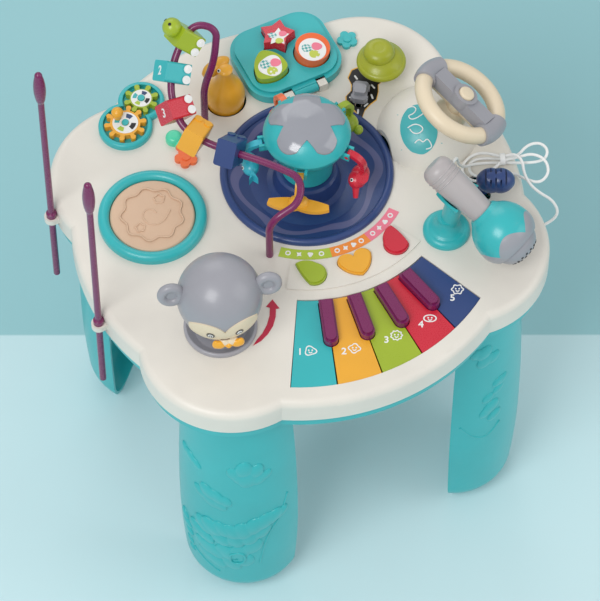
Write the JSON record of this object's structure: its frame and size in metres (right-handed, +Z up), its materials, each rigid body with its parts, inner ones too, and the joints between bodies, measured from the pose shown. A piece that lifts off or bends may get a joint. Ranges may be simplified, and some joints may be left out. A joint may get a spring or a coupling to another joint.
{
  "type": "musical activity table",
  "caption": "Toddler's play table on hollow legs with a spinning carousel, piano keys, drum, shape sorter, bead rail, steering wheel and toy microphone.",
  "frame": {"origin": "on the floor under the middle of the table and the mallet that hangs at its left", "axes": "+Z up, -Y the side of the piano keys, +X the side of the steering wheel, a right-handed frame"},
  "size_m": [0.431, 0.396, 0.5411],
  "materials": {
    "amber": "satin",
    "beige": "satin",
    "cream": "satin",
    "cyan": "satin",
    "green_board": "satin",
    "grey": "satin",
    "lens": "satin",
    "lime": "satin",
    "mint": "satin",
    "navy": "satin",
    "orange": "satin",
    "plum": "satin",
    "red": "satin",
    "skin": "satin",
    "teal": "satin",
    "tree_green": "satin",
    "white_cord": "satin"
  },
  "bodies": {
    "table": {"top_shell": "cream", "bottom_shell": "teal", "battery_cover": "teal", "leg_front_left": "teal", "leg_front_right": "teal", "leg_back_right": "teal", "leg_back_left": "teal", "carousel_dish": "navy", "drum_ring": "teal", "bead_rail": "plum", "gear_tray": "teal", "mic_stand": "teal", "piano_sharps": "plum", "flower_badges": "mint", "mic_cord_runs": "white_cord", "mic_cord_hank": "white_cord", "circuit_board": "green_board"},
    "carousel": {"carousel_dome": "teal", "carousel_lens": "lens"},
    "monkey": {"monkey_bowl": "grey", "monkey_head": "grey", "monkey_face": "beige"},
    "idler": {"idler_gear": "cream"},
    "figure_elephant": {"figure_elephant": "red"},
    "figure_bird": {"figure_bird": "amber"},
    "figure_fish": {"figure_fish": "cyan"},
    "figure_fox": {"figure_fox": "orange"},
    "figure_turtle": {"figure_turtle": "lime"},
    "drum_pad": {"drum_pad": "skin"},
    "mallet_left": {"mallet_left": "plum"},
    "mallet_front": {"mallet_front": "plum"},
    "car_navy": {"car_navy": "navy"},
    "car_amber": {"car_amber": "amber"},
    "car_red": {"car_red": "red"},
    "car_teal": {"car_teal": "teal"},
    "car_lime": {"car_lime": "lime"},
    "crank": {"crank_gear": "amber"},
    "driven": {"driven_gear": "amber"},
    "lid": {"sorter_lid": "teal"},
    "block_star": {"block_star": "red"},
    "block_round": {"block_round": "orange"},
    "block_leaf": {"block_leaf": "lime"},
    "toy_car": {"toy_car": "teal"},
    "tree": {"tree_lever": "tree_green"},
    "wheel": {"steering_wheel": "beige", "wheel_grips": "grey"},
    "horn": {"horn_button": "beige"},
    "mic": {"mic_handle": "beige", "mic_head": "teal", "mic_grille": "grey"},
    "shift": {"shift_lever": "navy"},
    "key_1_teal": {"key_1_teal": "teal"},
    "key_2_amber": {"key_2_amber": "amber"},
    "key_3_lime": {"key_3_lime": "lime"},
    "key_4_red": {"key_4_red": "red"},
    "key_5_navy": {"key_5_navy": "navy"},
    "button_curl_lime": {"button_curl_lime": "lime"},
    "button_heart": {"button_heart": "amber"},
    "button_curl_red": {"button_curl_red": "red"},
    "duck": {"duck_lever": "amber"}
  },
  "joints": [
    {"name": "carousel_spin", "type": "hinge", "parent": "table", "child": "carousel", "pos_m": [0.0279, 0.03, 0.34], "axis": [0, 0, 1], "continuous": true},
    {"name": "monkey_turn", "type": "hinge", "parent": "table", "child": "monkey", "pos_m": [-0.10748, -0.07931, 0.34], "axis": [0, 0, 1], "continuous": true},
    {"name": "idler_turn", "type": "hinge", "parent": "table", "child": "idler", "pos_m": [-0.04912, -0.0322, 0.314], "axis": [0, 0, 1], "continuous": true},
    {"name": "figure_elephant_swing", "type": "hinge", "parent": "carousel", "child": "figure_elephant", "pos_m": [0.05265, -0.00168, 0.3965], "axis": [-0.788, -0.6157, 0], "range_deg": [0, 8]},
    {"name": "figure_bird_swing", "type": "hinge", "parent": "carousel", "child": "figure_bird", "pos_m": [0.00542, -0.00333, 0.3965], "axis": [-0.829, 0.5592, 0], "range_deg": [0, 8]},
    {"name": "figure_fish_swing", "type": "hinge", "parent": "carousel", "child": "figure_fish", "pos_m": [-0.01074, 0.04108, 0.3965], "axis": [0.2756, 0.9613, 0], "range_deg": [0, 8]},
    {"name": "figure_fox_swing", "type": "hinge", "parent": "carousel", "child": "figure_fox", "pos_m": [0.0265, 0.07018, 0.3965], "axis": [0.9994, 0.0349, 0], "range_deg": [0, 8]},
    {"name": "figure_turtle_swing", "type": "hinge", "parent": "carousel", "child": "figure_turtle", "pos_m": [0.06568, 0.04375, 0.3965], "axis": [0.342, -0.9397, 0], "range_deg": [0, 8]},
    {"name": "drum_press", "type": "slide", "parent": "table", "child": "drum_pad", "axis": [0, 0, -1], "range_m": [0, 0.0015], "stiffness_N_per_m": 400, "springref_m": -0.001},
    {"name": "mallet_left_lift", "type": "slide", "parent": "table", "child": "mallet_left", "axis": [0, 0, 1], "range_m": [0, 0.1]},
    {"name": "mallet_front_lift", "type": "slide", "parent": "table", "child": "mallet_front", "axis": [0, 0, 1], "range_m": [0, 0.1]},
    {"name": "car_navy_slide", "type": "slide", "parent": "table", "child": "car_navy", "axis": [-0.6347, 0.7683, -0.0835], "range_m": [0, 0.001]},
    {"name": "car_amber_slide", "type": "slide", "parent": "table", "child": "car_amber", "axis": [-0.5661, 0.7926, 0.2265], "range_m": [0, 0.001]},
    {"name": "car_red_slide", "type": "slide", "parent": "table", "child": "car_red", "axis": [0.0611, 0.8866, 0.4586], "range_m": [0, 0.001]},
    {"name": "car_teal_slide", "type": "slide", "parent": "table", "child": "car_teal", "axis": [0.4951, 0.6698, 0.5533], "range_m": [0, 0.001]},
    {"name": "car_lime_slide", "type": "slide", "parent": "table", "child": "car_lime", "axis": [0.7526, 0.2945, 0.589], "range_m": [0, 0.001]},
    {"name": "crank_turn", "type": "hinge", "parent": "table", "child": "crank", "pos_m": [-0.0941, 0.143, 0.345], "axis": [0, 0, 1], "continuous": true},
    {"name": "driven_turn", "type": "hinge", "parent": "table", "child": "driven", "pos_m": [-0.07053, 0.16076, 0.345], "axis": [0, 0, 1], "continuous": true},
    {"name": "lid_open", "type": "hinge", "parent": "table", "child": "lid", "pos_m": [0.0644, 0.1065, 0.345], "axis": [1, 0, 0], "range_deg": [0, 45]},
    {"name": "block_star_lift", "type": "slide", "parent": "lid", "child": "block_star", "axis": [-0.0182, 0.1029, 0.9945], "range_m": [0, 0.015]},
    {"name": "block_round_lift", "type": "slide", "parent": "lid", "child": "block_round", "axis": [0.0982, -0.0358, 0.9945], "range_m": [0, 0.015]},
    {"name": "block_leaf_lift", "type": "slide", "parent": "lid", "child": "block_leaf", "axis": [-0.0856, -0.06, 0.9945], "range_m": [0, 0.015]},
    {"name": "toy_car_slide", "type": "slide", "parent": "table", "child": "toy_car", "axis": [0.5736, 0.8192, 0], "range_m": [-0.008, 0.01]},
    {"name": "tree_turn", "type": "hinge", "parent": "table", "child": "tree", "pos_m": [0.1339, 0.097, 0.34], "axis": [0, 0, 1], "range_deg": [-45, 45]},
    {"name": "wheel_turn", "type": "hinge", "parent": "table", "child": "wheel", "pos_m": [0.1629, 0.004, 0.398], "axis": [0.4535, -0.1215, 0.8829], "range_deg": [-60, 60]},
    {"name": "horn_press", "type": "slide", "parent": "wheel", "child": "horn", "axis": [-0.4535, 0.1215, -0.8829], "range_m": [0, 0.0015], "stiffness_N_per_m": 150, "springref_m": -0.001},
    {"name": "mic_lift", "type": "slide", "parent": "table", "child": "mic", "axis": [0, 0, 1], "range_m": [0, 0.03]},
    {"name": "shift_tilt", "type": "hinge", "parent": "table", "child": "shift", "pos_m": [0.1549, -0.05, 0.331], "axis": [1, 0, 0], "range_deg": [-8, 8]},
    {"name": "key_1_teal_press", "type": "hinge", "parent": "table", "child": "key_1_teal", "pos_m": [-0.02746, -0.09148, 0.3314], "axis": [0.91, -0.4147, 0], "range_deg": [0, 2.5], "stiffness_Nm_per_rad": 0.6, "springref_deg": -2.86},
    {"name": "key_2_amber_press", "type": "hinge", "parent": "table", "child": "key_2_amber", "pos_m": [-0.00417, -0.09959, 0.3314], "axis": [0.9707, -0.2402, 0], "range_deg": [0, 2.5], "stiffness_Nm_per_rad": 0.6, "springref_deg": -2.86},
    {"name": "key_3_lime_press", "type": "hinge", "parent": "table", "child": "key_3_lime", "pos_m": [0.02022, -0.10328, 0.3314], "axis": [0.9983, -0.0576, 0], "range_deg": [0, 2.5], "stiffness_Nm_per_rad": 0.6, "springref_deg": -2.86},
    {"name": "key_4_red_press", "type": "hinge", "parent": "table", "child": "key_4_red", "pos_m": [0.04486, -0.10242, 0.3314], "axis": [0.9919, 0.1271, 0], "range_deg": [0, 2.5], "stiffness_Nm_per_rad": 0.6, "springref_deg": -2.86},
    {"name": "key_5_navy_press", "type": "hinge", "parent": "table", "child": "key_5_navy", "pos_m": [0.06893, -0.09704, 0.3314], "axis": [0.9516, 0.3074, 0], "range_deg": [0, 2.5], "stiffness_Nm_per_rad": 0.6, "springref_deg": -2.86},
    {"name": "button_curl_lime_press", "type": "slide", "parent": "table", "child": "button_curl_lime", "axis": [0, 0, -1], "range_m": [0, 0.002], "stiffness_N_per_m": 150, "springref_m": -0.001},
    {"name": "button_heart_press", "type": "slide", "parent": "table", "child": "button_heart", "axis": [0, 0, -1], "range_m": [0, 0.002], "stiffness_N_per_m": 150, "springref_m": -0.001},
    {"name": "button_curl_red_press", "type": "slide", "parent": "table", "child": "button_curl_red", "axis": [0, 0, -1], "range_m": [0, 0.002], "stiffness_N_per_m": 150, "springref_m": -0.001},
    {"name": "duck_tilt", "type": "hinge", "parent": "table", "child": "duck", "pos_m": [-0.0021, 0.132, 0.331], "axis": [1, 0, 0], "range_deg": [-4, 4]}
  ],
  "couplings": [
    {"joint": "monkey_turn", "follows": "carousel_spin", "ratio": 1.8},
    {"joint": "idler_turn", "follows": "carousel_spin", "ratio": -1.2},
    {"joint": "driven_turn", "follows": "crank_turn", "ratio": -1.25}
  ]
}
